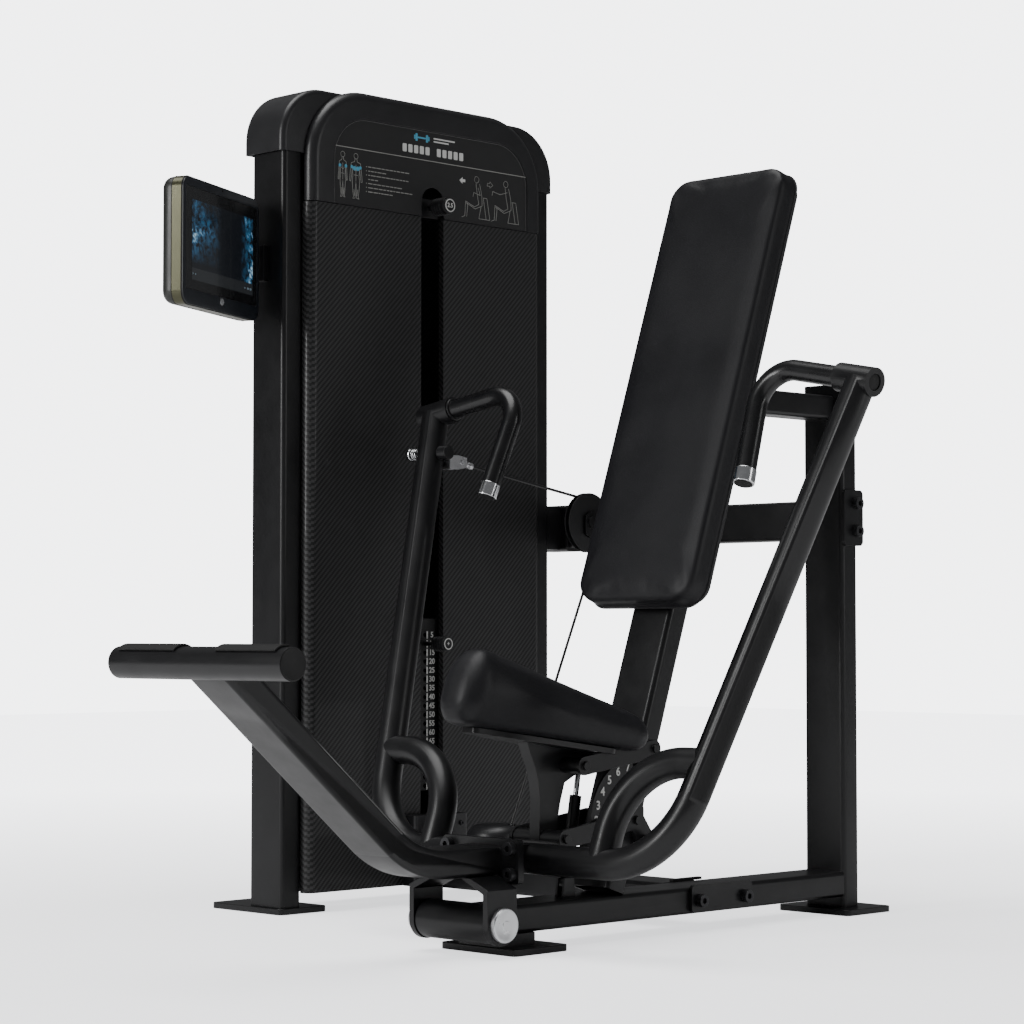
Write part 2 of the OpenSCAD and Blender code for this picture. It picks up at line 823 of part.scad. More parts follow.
// Tray under the pad, the column below it, and the tubes that its pivots run in
module seat_carrier() {
  low = seat_low_front;
  top = seat_top_front;
  color(frame_black) difference() {
    union() {
      difference() {
        in_tray() translate([0, 32, -10]) linear_extrude(9.7) seat_outline(28);
        link_channel();
      }
      plate_x(-12.5, 12.5, [[72, 190], [104, 186], [118, 215], [126, 253], [138, 290], [170, 305],
        [214, 322], [216, 343], [40, 370], [50, 345], [62, 320], [70, 296], [74, 260]]);
      rod_x(-55.5, 55.5, low[0], low[1], 15);
      rod_x(-55.5, 55.5, top[0], top[1], 14);
    }
    rod_x(-60, 60, low[0], low[1], 8 + fit);
    rod_x(-60, 60, top[0], top[1], 8 + fit);
    translate([-9, strut_head[0] - 26, strut_head[1] - 40]) cube([18, 52, 52]);
  }
}

// Two link plates with a bolt through each end
module link_pair(rear, front) {
  for (x = [-64, 56]) link_x(x, x + 8, rear, front, 17);
  for (p = [rear, front]) rod_x(-70, 70, p[0], p[1], 8);
}

module seat_lower_link() {
  color(frame_black) difference() {
    union() {
      link_pair(seat_low_rear, seat_low_front);
      link_x(56, 64, seat_low_rear, seat_stop, 20);
    }
    rod_x(50, 70, seat_stop[0], seat_stop[1], 6);
  }
}

module seat_upper_link() {
  color(frame_black) link_pair(seat_top_rear, seat_top_front);
}

// Sector plate with the seat height numbers, welded to the support tube's side
module seat_quadrant() {
  c = seat_low_rear;
  color(steel) difference() {
    union() {
      plate_x(50, 54.5, concat([for (a = [92 : 4 : 188]) c + 112 * [cos(a), sin(a)]], [c + [-20, -30]],
        [c + [30, -30]], [c + [30, 20]]));
      rod_x(50, 54.5, seat_stop[0], seat_stop[1], 24);
    }
    rod_x(40, 60, c[0], c[1], 9);
  }
}

strut_run = strut_head - strut_foot;
strut_lean = atan2(strut_run[0], strut_run[1]);
module along_strut() {
  translate([0, strut_foot[0], strut_foot[1]]) rotate([-strut_lean, 0, 0]) children();
}

module seat_plunger() {
  color(steel) rod_x(55.2, 84, seat_stop[0], seat_stop[1], 6 - fit);
  color(rubber_black) rod_x(84, 100, seat_stop[0], seat_stop[1], 14);
}

// Gas strut: the cylinder stands in a lug on the base beam
module lift_strut() {
  color(frame_black) {
    along_strut() translate([0, 0, 12]) difference() {
      cylinder(r = 11, h = 150);
      translate([0, 0, 18]) cylinder(r = 5 + fit, h = 140);
    }
    rod_x(-5, 5, strut_foot[0], strut_foot[1], 12);
    for (x = [-11, 5.5]) plate_x(x, x + 5.5, [[136, 83], [168, 83], [164, 117], [140, 117]]);
  }
}

module strut_rod() {
  head = norm(strut_run);
  color(chrome) along_strut() {
    translate([0, 0, 48]) cylinder(r = 5, h = head - 50);
    translate([0, 0, head]) sphere(7);
  }
}

// ---- screen ----

screen_c = [-712.5, -77.5, 1313.5];
screen_turn = 115.3;
screen_t = 50;
swivel = [-849, 24];

// Local X runs along the screen, local -Y is the way it faces
module in_screen() {
  translate(screen_c) rotate([0, 0, screen_turn]) children();
}

module screen() {
  color(shroud_black) difference() {
    union() {
      in_screen() translate([0, screen_t, 0]) rotate([90, 0, 0]) round_block(screen_w, screen_h, screen_t, 26);
      in_screen() translate([128, screen_t - 0.5, -19]) cube([30, 22, 38]);
      translate([swivel[0], swivel[1], 1293.5]) cylinder(r = 13, h = 40);
    }
    in_screen() translate([0, 6, -103]) rotate([90, 0, 0]) cylinder(r = 7.2, h = 12);
    translate([swivel[0], swivel[1], 1290]) cylinder(r = 6 + fit, h = 50);
  }
}

module home_button() {
  color(chrome) in_screen() translate([0, 3.5, -103]) rotate([90, 0, 0]) cylinder(r = 7, h = 4.3);
}

module screen_bracket() {
  color(frame_black) {
    translate([-862, 80, 1273]) cube([87, 12, 73]);
    for (z = [1273, 1334]) {
      translate([-862, swivel[1], z]) cube([24, 60, 12]);
      translate([swivel[0], swivel[1], z]) cylinder(r = 13, h = 12);
    }
    translate([swivel[0], swivel[1], 1273]) cylinder(r = 6, h = 73);
  }
}

floor_feet();
base_beam();
base_cross_member();
clamp_plates();
rear_upright();
back_support();
upper_cross_beam();
frame_bolts();
tower_frame();
guide_rods();
stack_buffers();
resting_plates();
shroud_panel_left();
shroud_panel_right();
rear_shroud();
front_cap();
rear_cap();
entry_cover();
upper_pulley_bracket();
lower_pulley_yoke();
pulley_cover();
tower_pulley_hangers();
pad_board();
back_pad();
seat_quadrant();
screen_bracket();
cable_main();
press_arms();
lower_tube();
frame_gussets();
handles();
grip_caps();
clevis_plates();
pivot_pin();
foot_lever();
foot_pads();
lever_bolts();
cable_fork();
arm_pin();
cable_terminal();
cable_front();
cable_stop();
upper_pulley();
lower_pulley();
tower_pulley();
top_pulley();
stack_head();
lifted_plates();
cable_drop();
selector_pin();
increment_weight();
screen();
home_button();
seat_pad();
seat_carrier();
seat_lower_link();
seat_upper_link();
lift_strut();
strut_rod();
seat_plunger();
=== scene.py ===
import json
import math
import random

import bmesh
import bpy
from mathutils import Matrix, Vector


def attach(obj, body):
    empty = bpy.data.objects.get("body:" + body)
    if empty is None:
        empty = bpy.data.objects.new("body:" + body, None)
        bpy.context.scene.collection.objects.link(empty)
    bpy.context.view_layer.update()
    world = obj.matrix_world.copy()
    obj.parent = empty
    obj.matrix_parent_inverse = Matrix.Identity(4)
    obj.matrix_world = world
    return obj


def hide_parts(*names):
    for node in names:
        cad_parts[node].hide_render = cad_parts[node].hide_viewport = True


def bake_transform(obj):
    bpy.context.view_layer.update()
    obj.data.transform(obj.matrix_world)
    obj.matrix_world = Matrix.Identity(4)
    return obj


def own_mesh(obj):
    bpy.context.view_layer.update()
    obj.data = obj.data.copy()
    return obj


MM = 0.001
SEED = 11
CLOTH_FRAMES = 20
PLATE_PITCH = 18.6
STACK_Y = 480
SELECTOR_Z = 538.4
INCREMENT_Z = 1457.0
BUTTON_AT = (0, -103)
CABLE_RADIUS = 3.0
# Strength of the bright backdrop as the camera sees it, and of the dim surround that lights the object
SEEN_LEVEL = 5.0
SURROUND_LEVEL = 0.13

random.seed(SEED)
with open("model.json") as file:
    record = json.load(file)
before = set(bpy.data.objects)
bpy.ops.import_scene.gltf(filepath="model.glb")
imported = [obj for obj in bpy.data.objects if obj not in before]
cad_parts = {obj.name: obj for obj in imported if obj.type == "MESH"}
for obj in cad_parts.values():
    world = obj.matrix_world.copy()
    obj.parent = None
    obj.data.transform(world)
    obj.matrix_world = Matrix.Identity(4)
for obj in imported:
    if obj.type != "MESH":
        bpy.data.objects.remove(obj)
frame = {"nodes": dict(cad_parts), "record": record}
nodes = frame["nodes"]
record = frame["record"]["behaviour"]["bodies"]
body_of_node = {n: b for b, names in record.items() for n in names}
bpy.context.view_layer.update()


# ---- places of the part, as 4x4 matrices in metres ----

def move(x, y, z):
    return Matrix.Translation(Vector((x, y, z)) * MM)


def turn(degrees, axis):
    return Matrix.Rotation(math.radians(degrees), 4, axis)


RECLINE = turn(-19, "X")
BACK = move(0, 259.4, 81.5) @ RECLINE
PRESS = move(0, 20, 162) @ turn(-20.66, "X")
ARM = PRESS @ move(360, 0, 0) @ turn(11.3, "Y")
SIDES = (("near", Matrix.Identity(4)), ("far", Matrix.Diagonal((-1, 1, 1, 1))))
ACROSS = turn(90, "Y")
SEAT = move(0, -75, 523) @ RECLINE
SCREEN = move(-712.5, -77.5, 1313.5) @ turn(115.3, "Z")
# Panels whose local X runs right, local Y up and local Z outward
FACES_X = Matrix(((0, 0, 1, 0), (1, 0, 0, 0), (0, 1, 0, 0), (0, 0, 0, 1)))
FACES_MINUS_Y = Matrix(((1, 0, 0, 0), (0, 0, -1, 0), (0, 1, 0, 0), (0, 0, 0, 1)))


# ---- materials ----

class Shader:
    """A Principled material with a few short ways to add nodes to it."""

    def __init__(self, name, rough=0.5, metal=0.0, coat=0.0, specular=0.5):
        self.material = bpy.data.materials.new(name)
        self.material.use_nodes = True
        self.tree = self.material.node_tree
        self.surface = self.tree.nodes["Principled BSDF"]
        self.set("Roughness", rough)
        self.set("Metallic", metal)
        self.set("Coat Weight", coat)
        self.set("Specular IOR Level", specular)
        self.place = self.add("ShaderNodeTexCoord").outputs["Object"]

    def add(self, kind, links=None, **props):
        node = self.tree.nodes.new(kind)
        for key, value in props.items():
            setattr(node, key, value)
        for key, value in (links or {}).items():
            self.put(node.inputs[key], value)
        return node

    def put(self, socket, value):
        if isinstance(value, bpy.types.NodeSocket):
            self.tree.links.new(value, socket)
        else:
            socket.default_value = value

    def set(self, name, value):
        self.put(self.surface.inputs[name], value)

    def math(self, kind, a, b=0.0):
        return self.add("ShaderNodeMath", {0: a, 1: b}, operation=kind).outputs[0]

    def noise(self, scale, detail=2.0, stretch=None, distortion=0.0):
        place = self.place
        if stretch:
            place = self.add("ShaderNodeMapping", {"Vector": place, "Scale": stretch}).outputs[0]
        links = {"Vector": place, "Scale": scale, "Detail": detail, "Distortion": distortion}
        return self.add("ShaderNodeTexNoise", links).outputs["Fac"]

    def cells(self, scale):
        return self.add("ShaderNodeTexVoronoi", {"Vector": self.place, "Scale": scale}).outputs["Distance"]

    def between(self, fac, low, high, start=0.0, end=1.0):
        links = {"Value": fac, "From Min": start, "From Max": end, "To Min": low, "To Max": high}
        return self.add("ShaderNodeMapRange", links).outputs[0]

    def blend(self, fac, a, b):
        node = self.add("ShaderNodeMix", data_type="RGBA")
        self.put(node.inputs[0], fac)
        self.put(node.inputs[6], (*a, 1) if isinstance(a, tuple) else a)
        self.put(node.inputs[7], (*b, 1) if isinstance(b, tuple) else b)
        return node.outputs[2]

    def bump(self, height, strength, distance):
        links = {"Height": height, "Strength": strength, "Distance": distance}
        self.set("Normal", self.add("ShaderNodeBump", links).outputs[0])


def worn(name, dark, light, rough, rough_span, grain, bump, metal=0.0, coat=0.0, specular=0.5):
    """Paint, plastic, rubber or metal: patchy colour and gloss over a fine grain."""
    s = Shader(name, rough, metal, coat, specular)
    patch = 9.0
    s.set("Base Color", s.blend(s.noise(patch, 5.0), dark, light))
    patches = s.noise(patch * 2.3, 4.0)
    s.set("Roughness", s.between(patches, rough - rough_span, rough + rough_span, 0.25, 0.75))
    s.bump(s.noise(grain, 3.0), bump, 0.0006)
    return s.material


def vinyl(name):
    """Upholstery vinyl: a pebbled leather grain, glossier where it is rubbed."""
    s = Shader(name, 0.44, specular=0.32)
    pebbles = s.math("ADD", s.cells(430.0), s.math("MULTIPLY", s.noise(900.0, 2.0), 0.4))
    s.set("Base Color", s.blend(s.noise(14.0, 5.0), (0.0040, 0.0040, 0.0052), (0.0075, 0.0075, 0.0092)))
    s.set("Roughness", s.between(s.noise(6.0, 4.0), 0.38, 0.52, 0.3, 0.7))
    s.bump(pebbles, 0.22, 0.0006)
    return s.material


def weave(name, tow, dark, light):
    """Twill cloth under a clear coat: each thread passes over two and under two. The threads on top carry a painted
    sheen, and painted shade darkens each thread towards its sides.
    """
    s = Shader(name, 0.42, coat=0.12, specular=0.35)
    at = s.add("ShaderNodeSeparateXYZ", {"Vector": s.place}).outputs
    u = s.math("DIVIDE", s.math("SUBTRACT", at[1], at[0]), tow)
    v = s.math("DIVIDE", at[2], tow)
    step = s.math("SUBTRACT", s.math("FLOOR", u), s.math("FLOOR", v))
    over = s.math("LESS_THAN", s.math("FLOORED_MODULO", step, 4.0), 2.0)
    across = s.math("PINGPONG", u, 0.5)
    along = s.math("PINGPONG", v, 0.5)
    under_part = s.math("MULTIPLY", s.math("SUBTRACT", 1.0, over), along)
    ridge = s.math("ADD", s.math("MULTIPLY", over, across), under_part)
    fibres = s.noise(160.0, 4.0, (1.0, 6.0, 0.7))
    # Painted sheen: threads on top are painted lighter than those beneath, with fibre streaks along them
    painted_tow_sheen = s.math("MULTIPLY", over, s.between(fibres, 0.75, 1.0))
    # Painted shade: each thread is painted darker towards its sides
    painted_tow_sheen = s.math("MULTIPLY", painted_tow_sheen, s.between(ridge, 0.7, 1.0, 0.0, 0.5))
    s.set("Base Color", s.blend(painted_tow_sheen, dark, light))
    s.set("Roughness", s.between(over, 0.55, 0.40))
    s.bump(ridge, 0.3, 0.0005)
    return s.material


def chromed(name, rough):
    s = Shader(name, rough, metal=1.0)
    s.set("Base Color", s.blend(s.noise(40.0, 3.0), (0.80, 0.81, 0.83), (0.94, 0.95, 0.96)))
    s.set("Roughness", s.between(s.noise(25.0, 4.0), rough * 0.6, rough * 1.7, 0.3, 0.7))
    s.bump(s.noise(300.0, 2.0), 0.02, 0.0004)
    return s.material


def brushed_steel(name):
    s = Shader(name, 0.34, metal=1.0)
    lines = s.noise(60.0, 5.0, (1.0, 18.0, 18.0))
    s.set("Base Color", s.blend(lines, (0.55, 0.55, 0.56), (0.80, 0.80, 0.82)))
    s.set("Roughness", s.between(lines, 0.26, 0.46, 0.3, 0.7))
    s.bump(lines, 0.12, 0.0003)
    return s.material


def ink(name, colour, rough=0.55):
    """Printed ink: slightly uneven cover."""
    s = Shader(name, rough)
    thin = tuple(c * 0.8 for c in colour)
    s.set("Base Color", s.blend(s.noise(260.0, 3.0), thin, colour))
    s.bump(s.noise(700.0, 2.0), 0.05, 0.0003)
    return s.material


def display(name):
    """A lit screen: pale smoke at both sides of a dark picture."""
    s = Shader(name, 0.16, coat=0.4, specular=0.4)
    at = s.add("ShaderNodeSeparateXYZ", {"Vector": s.place}).outputs
    left = s.between(at[0], 1.0, 0.0, -0.135, -0.005)
    right = s.between(at[0], 0.0, 0.75, 0.085, 0.130)
    level = s.math("ABSOLUTE", s.math("SUBTRACT", at[1], 0.028))
    side = s.math("MAXIMUM", s.math("MULTIPLY", left, s.between(level, 1.0, 0.0, 0.0, 0.070)), right)
    fine = s.noise(75.0, 9.0, (1.0, 1.0, 1.0), 0.7)
    broad = s.noise(21.0, 5.0)
    wisps = s.math("MULTIPLY", s.between(fine, 0.0, 1.3, 0.40, 0.66), s.between(broad, 0.3, 1.4, 0.35, 0.70))
    smoke = s.math("MULTIPLY", wisps, side)
    blue = s.blend(s.between(smoke, 0.0, 1.0, 0.0, 0.55), (0.0060, 0.0075, 0.0100), (0.030, 0.130, 0.260))
    picture = s.blend(s.between(smoke, 0.0, 1.0, 0.45, 1.1), blue, (0.50, 0.75, 0.90))
    bar = s.math("LESS_THAN", at[1], -0.051)
    shown = s.blend(bar, picture, (0.020, 0.022, 0.024))
    s.set("Base Color", (0.004, 0.004, 0.005, 1))
    s.set("Emission Color", shown)
    s.set("Emission Strength", 0.85)
    s.set("Roughness", s.between(s.noise(60.0, 3.0), 0.12, 0.22))
    return s.material


PAINT = worn("satin_powder_coat", (0.0035, 0.0035, 0.0040), (0.0065, 0.0065, 0.0072),
             0.34, 0.05, 620.0, 0.08, specular=0.42)
COVER = worn("textured_cover", (0.010, 0.010, 0.011), (0.015, 0.015, 0.0165), 0.36, 0.05, 900.0, 0.14)
FILM = worn("printed_film", (0.017, 0.017, 0.0175), (0.022, 0.022, 0.0225), 0.52, 0.04, 1200.0, 0.06, specular=0.3)
SHROUD = weave("twill_shroud", 0.0030, (0.0025, 0.0025, 0.0027), (0.040, 0.040, 0.041))
VINYL = vinyl("black_vinyl")
GRIP = worn("grip_sleeve", (0.0035, 0.0035, 0.0040), (0.0060, 0.0060, 0.0066), 0.28, 0.04, 500.0, 0.08)
RUBBER = worn("moulded_rubber", (0.0040, 0.0040, 0.0040), (0.0080, 0.0080, 0.0080),
              0.62, 0.08, 800.0, 0.25, specular=0.35)
CHROME = chromed("chrome", 0.14)
CAP = chromed("satin_cap", 0.32)
STEEL = brushed_steel("brushed_steel")
BOLT = worn("blackened_steel", (0.030, 0.030, 0.032), (0.060, 0.060, 0.064), 0.34, 0.07, 1200.0, 0.15, metal=0.75)
PLATE = worn("cast_plate", (0.0045, 0.0045, 0.0045), (0.0085, 0.0085, 0.0090),
             0.50, 0.07, 420.0, 0.35, specular=0.4)
KNOB = worn("knob_plastic", (0.0045, 0.0045, 0.0050), (0.0080, 0.0080, 0.0090), 0.34, 0.05, 900.0, 0.12)
NYLON = worn("pulley_nylon", (0.0050, 0.0050, 0.0055), (0.0090, 0.0090, 0.0098),
             0.44, 0.06, 700.0, 0.12, specular=0.4)
CABLE = worn("coated_cable", (0.003, 0.003, 0.003), (0.006, 0.006, 0.006), 0.32, 0.05, 900.0, 0.15)
CASE = worn("screen_case", (0.014, 0.015, 0.013), (0.022, 0.023, 0.020), 0.38, 0.05, 900.0, 0.10, specular=0.45)
BEZEL = worn("screen_bezel", (0.009, 0.011, 0.015), (0.013, 0.016, 0.021), 0.34, 0.04, 900.0, 0.06)
OLIVE = worn("olive_trim", (0.050, 0.050, 0.026), (0.085, 0.083, 0.046), 0.30, 0.05, 900.0, 0.08, metal=0.6)
STITCH = worn("seam_thread", (0.010, 0.010, 0.011), (0.022, 0.022, 0.024), 0.60, 0.06, 1500.0, 0.4)
WHITE = ink("white_ink", (0.72, 0.72, 0.70))
GREY = ink("grey_ink", (0.34, 0.34, 0.32))
LINE = ink("line_ink", (0.15, 0.15, 0.15))
GLASS = worn("screen_glass", (0.0090, 0.0095, 0.0105), (0.0110, 0.0115, 0.0125),
             0.16, 0.03, 300.0, 0.02, coat=0.3)
BLUE = ink("blue_ink", (0.09, 0.42, 0.62))
PICTURE = display("lit_display")
DOTS = ink("pale_dots", (0.30, 0.42, 0.50))

FINISH = {
    "frame": PAINT, "shroud": SHROUD, "covers": COVER, "grips": GRIP, "rubber": RUBBER, "chrome": CHROME,
    "brushed": STEEL, "bolts": BOLT, "plates": PLATE, "knobs": KNOB, "pulleys": NYLON, "cable": CABLE,
}


# ---- making pieces ----

def placed(name, data, place=Matrix.Identity(4)):
    """A new object in the scene."""
    obj = bpy.data.objects.new(name, data)
    bpy.context.collection.objects.link(obj)
    obj.matrix_world = place
    return obj


def piece(name, mesh, material, body, place=Matrix.Identity(4), smooth=True):
    """A new object that rides on a body."""
    mesh.materials.clear()
    mesh.materials.append(material)
    mesh.polygons.foreach_set("use_smooth", [smooth] * len(mesh.polygons))
    obj = placed(name, mesh, place)
    if body:
        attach(obj, body)
    return obj


def mesh_from(bm, name):
    bmesh.ops.recalc_face_normals(bm, faces=bm.faces)
    mesh = bpy.data.meshes.new(name)
    bm.to_mesh(mesh)
    bm.free()
    return mesh


def sharp(mesh, degrees=35):
    mesh.set_sharp_from_angle(angle=math.radians(degrees))


def bevelled(obj, edge, angle):
    """Rounds the edges that are sharper than angle, by edge millimetres."""
    bevel = obj.modifiers.new("edges", "BEVEL")
    bevel.width = edge * MM
    bevel.segments = 2
    bevel.limit_method = "ANGLE"
    bevel.angle_limit = math.radians(angle)
    return bevel


def refine(node, material, edge):
    """The CAD node again with its edges rounded, standing for that node."""
    mesh = nodes[node].data.copy()
    for name in ("custom_normal", "sharp_edge", "sharp_face"):
        if mesh.attributes.get(name):
            mesh.attributes.remove(mesh.attributes[name])
    bm = bmesh.new()
    bm.from_mesh(mesh)
    bmesh.ops.remove_doubles(bm, verts=bm.verts, dist=3e-6)
    bmesh.ops.dissolve_limit(bm, angle_limit=math.radians(0.5), verts=bm.verts, edges=bm.edges)
    bm.to_mesh(mesh)
    bm.free()
    obj = piece("v_" + node, mesh, material, body_of_node[node])
    bevelled(obj, edge, 33).harden_normals = True
    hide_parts(node)


def tube(points, radius, sides=16, closed=False):
    """A round tube along a list of points in millimetres."""
    bm = bmesh.new()
    path = [Vector(p) * MM for p in points]
    count = len(path)
    rings = []
    normal = None
    for i, p in enumerate(path):
        if closed:
            ahead, behind = path[(i + 1) % count], path[i - 1]
        else:
            ahead, behind = path[min(i + 1, count - 1)], path[max(i - 1, 0)]
        along = (ahead - behind).normalized()
        if normal is None:
            normal = along.orthogonal().normalized()
        normal = (normal - along * normal.dot(along)).normalized()
        other = along.cross(normal)
        rings.append([bm.verts.new(p + radius * MM * (math.cos(a) * normal + math.sin(a) * other))
                      for a in (2 * math.pi * k / sides for k in range(sides))])
    pairs = list(zip(rings, rings[1:])) + ([(rings[-1], rings[0])] if closed else [])
    for one, two in pairs:
        shift = 0
        if closed and two is rings[0]:
            shift = min(range(sides), key=lambda s: (one[0].co - two[s].co).length)
        for k in range(sides):
            a, b = (k + shift) % sides, (k + shift + 1) % sides
            bm.faces.new((one[k], one[(k + 1) % sides], two[b], two[a]))
    if not closed:
        bm.faces.new(rings[0][::-1])
        bm.faces.new(rings[-1])
    return mesh_from(bm, "tube")


def lathe(profile, sides=48):
    """A closed profile of (radius, height) in millimetres turned about local Z."""
    bm = bmesh.new()
    rings = []
    for r, h in profile:
        if r == 0:
            rings.append([bm.verts.new((0, 0, h * MM))])
        else:
            rings.append([bm.verts.new((r * MM * math.cos(a), r * MM * math.sin(a), h * MM))
                          for a in (2 * math.pi * k / sides for k in range(sides))])
    for one, two in zip(rings, rings[1:] + rings[:1]):
        if len(one) == 1 and len(two) == 1:
            continue
        for k in range(sides):
            n = (k + 1) % sides
            if len(one) == 1:
                bm.faces.new((one[0], two[n], two[k]))
            elif len(two) == 1:
                bm.faces.new((one[k], one[n], two[0]))
            else:
                bm.faces.new((one[k], one[n], two[n], two[k]))
    mesh = mesh_from(bm, "lathe")
    sharp(mesh, 30)
    return mesh


def slab(outlines, height, base=0.0):
    """Flat shapes in the local XY plane, in millimetres, made height thick."""
    bm = bmesh.new()
    for outline in outlines:
        low = [bm.verts.new((x * MM, y * MM, base * MM)) for x, y in outline]
        high = [bm.verts.new((x * MM, y * MM, (base + height) * MM)) for x, y in outline]
        bm.faces.new(low[::-1])
        bm.faces.new(high)
        for k in range(len(outline)):
            n = (k + 1) % len(outline)
            bm.faces.new((low[k], low[n], high[n], high[k]))
    mesh = mesh_from(bm, "slab")
    sharp(mesh, 30)
    return mesh


def frame_slab(outer, inner, height, base=0.0):
    """A flat ring between two outlines that have as many points as each other."""
    bm = bmesh.new()
    loops = []
    for outline, z in ((outer, base), (outer, base + height), (inner, base + height), (inner, base)):
        loops.append([bm.verts.new((x * MM, y * MM, z * MM)) for x, y in outline])
    for one, two in zip(loops, loops[1:] + loops[:1]):
        for k in range(len(one)):
            n = (k + 1) % len(one)
            bm.faces.new((one[k], one[n], two[n], two[k]))
    mesh = mesh_from(bm, "ring")
    sharp(mesh, 30)
    return mesh


def rounded(w, h, r, cx=0.0, cy=0.0, steps=8):
    """The outline of a rectangle with round corners."""
    points = []
    for sx, sy, start in ((1, 1, 0), (-1, 1, 90), (-1, -1, 180), (1, -1, 270)):
        for k in range(steps + 1):
            a = math.radians(start + 90 * k / steps)
            points.append((cx + sx * (w / 2 - r) + r * math.cos(a), cy + sy * (h / 2 - r) + r * math.sin(a)))
    return points


def panel_edge(y0, y1, z0, z1, r):
    """The outline of a panel with a square foot and round upper corners."""
    turns = [math.radians(a) for a in range(0, 91, 6)]
    points = [(y0, z0), (y0, z1 - r)]
    points += [(y0 + r - r * math.cos(a), z1 - r + r * math.sin(a)) for a in turns]
    points += [(y1 - r + r * math.sin(a), z1 - r + r * math.cos(a)) for a in turns]
    return points + [(y1, z0)]


def disc(r, cx=0.0, cy=0.0, steps=28):
    """The outline of a circle."""
    return [(cx + r * math.cos(2 * math.pi * k / steps), cy + r * math.sin(2 * math.pi * k / steps))
            for k in range(steps)]


def strokes(paths, width):
    """Each path as a row of flat quads that run a little past the path's corners."""
    past = width * 0.3
    shapes = []
    for path in paths:
        for (x0, y0), (x1, y1) in zip(path, path[1:]):
            run = math.hypot(x1 - x0, y1 - y0)
            if run < 1e-6:
                continue
            ux, uy = (x1 - x0) / run, (y1 - y0) / run
            ax, ay = x0 - ux * past, y0 - uy * past
            bx, by = x1 + ux * past, y1 + uy * past
            nx, ny = -uy * width / 2, ux * width / 2
            shapes.append([(ax - nx, ay - ny), (bx - nx, by - ny), (bx + nx, by + ny), (ax + nx, ay + ny)])
    return shapes


def evaluated(obj):
    """A new mesh of the object with its modifiers applied."""
    return bpy.data.meshes.new_from_object(obj.evaluated_get(bpy.context.evaluated_depsgraph_get()))


def apply_all(obj):
    """Makes the modifiers part of the mesh."""
    shape = evaluated(obj)
    obj.modifiers.clear()
    obj.data = shape


def lettering(entries, depth):
    """Numbers as one mesh: entries are (text, x, y, size) in millimetres."""
    bm = bmesh.new()
    for text, x, y, size in entries:
        curve = bpy.data.curves.new("number", "FONT")
        curve.body = text
        curve.size = size * MM
        curve.extrude = depth * MM / 2
        curve.offset = size * 0.02 * MM
        curve.align_x = "CENTER"
        curve.align_y = "CENTER"
        curve.resolution_u = 3
        holder = placed("number", curve, move(x, y, depth / 2))
        bpy.context.view_layer.update()
        shape = evaluated(holder)
        shape.transform(holder.matrix_world)
        bm.from_mesh(shape)
        bpy.data.objects.remove(holder)
        bpy.data.meshes.remove(shape)
        bpy.data.curves.remove(curve)
    mesh = bpy.data.meshes.new("numbers")
    bm.to_mesh(mesh)
    bm.free()
    return mesh


def carved(obj, cutters):
    """Cuts closed meshes out of an object; each cutter is (mesh, its place)."""
    tools = []
    for shape, place in cutters:
        tool = placed("cutter", shape, place)
        cut = obj.modifiers.new("cut", "BOOLEAN")
        cut.operation = "DIFFERENCE"
        cut.solver = "EXACT"
        cut.object = tool
        tools.append(tool)
    bpy.context.view_layer.update()
    apply_all(obj)
    for tool in tools:
        bpy.data.objects.remove(tool)


def layered(outline, levels):
    """A closed form from stacked outlines.

    Levels are (height, inset) in millimetres, where height may be a function of y.
    """
    bm = bmesh.new()
    loops = []
    for height, inset in levels:
        z = height if callable(height) else (lambda y, h=height: h)
        loops.append([bm.verts.new((x * MM, y * MM, z(y) * MM)) for x, y in outline(inset)])
    for one, two in zip(loops, loops[1:]):
        for k in range(len(one)):
            n = (k + 1) % len(one)
            bm.faces.new((one[k], one[n], two[n], two[k]))
    bm.faces.new(loops[0][::-1])
    bm.faces.new(loops[-1])
    return mesh_from(bm, "layered")


def round_over(base, top, radius, wall=0.0, steps=8):
    """Levels of a straight side from base that rounds over into a face at top."""
    turns = [math.radians(90 * k / steps) for k in range(steps + 1)]
    return [(base, wall)] + [(top - radius + radius * math.sin(a), wall + radius * (1 - math.cos(a))) for a in turns]


# ---- camera, light and floor ----

camera_data = bpy.data.cameras.new("photo_camera")
camera_data.lens = 94.4
camera_data.clip_end = 200
camera = placed("photo_camera", camera_data)
camera.location = (3.4016, -3.3864, 0.563)
camera.rotation_euler = (math.radians(92.56), 0, math.radians(45))
bpy.context.scene.camera = camera

REACH = 12000
floor_mesh = slab([[(-REACH, -REACH), (REACH, -REACH), (REACH, REACH), (-REACH, REACH)]], 20, -20.6)
floor_shader = Shader("pale_floor", 0.8, specular=0.1)
cloudy = floor_shader.noise(2.0, 3.0)
floor_shader.set("Base Color", floor_shader.blend(cloudy, (0.86, 0.86, 0.87), (0.89, 0.89, 0.90)))
# The floor glows a little for the camera alone, as a lit studio floor does, and glows less near the machine as painted
# shade round it
seen = floor_shader.add("ShaderNodeLightPath").outputs["Is Camera Ray"]
floor_shader.set("Emission Color", (0.96, 0.97, 1.0, 1))
away = floor_shader.add("ShaderNodeVectorMath", {0: floor_shader.place}, operation="LENGTH").outputs["Value"]
# Painted shade: the glow is least within 1.2 m of the machine and grows to full at 5 m
glow_with_painted_shade = floor_shader.between(away, 1.4, 3.6, 1.2, SEEN_LEVEL)
floor_shader.set("Emission Strength", floor_shader.math("MULTIPLY", seen, glow_with_painted_shade))
floor_mesh.materials.append(floor_shader.material)
placed("floor", floor_mesh)

world = bpy.data.worlds.new("studio")
bpy.context.scene.world = world
world.use_nodes = True
backdrop = world.node_tree.nodes["Background"]
backdrop.inputs["Color"].default_value = (0.97, 0.98, 1.0, 1)
